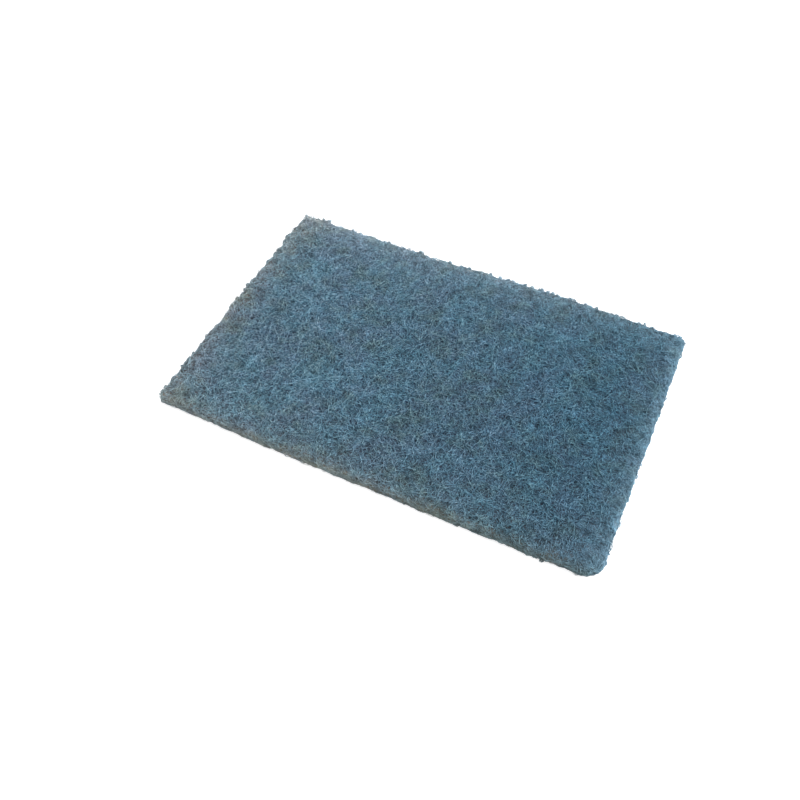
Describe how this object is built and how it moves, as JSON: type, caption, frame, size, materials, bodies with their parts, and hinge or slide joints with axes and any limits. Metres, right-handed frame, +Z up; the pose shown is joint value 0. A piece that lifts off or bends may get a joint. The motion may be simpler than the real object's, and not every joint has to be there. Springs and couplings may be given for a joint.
{
  "type": "scouring pad",
  "caption": "Flat rectangular hand scouring pad of lofty nonwoven fibre web, with softly rounded corners and slightly ragged die-cut sides.",
  "frame": {"origin": "middle of the underside, on the surface that the pad lies on", "axes": "+X along the pad's length, +Y across its width, +Z up through its thickness"},
  "size_m": [0.2301, 0.1544, 0.0077],
  "materials": {
    "web": "matt blue nonwoven web of resin-coated synthetic fibre"
  },
  "bodies": {
    "root": {"scouring_pad": "web"}
  },
  "joints": []
}
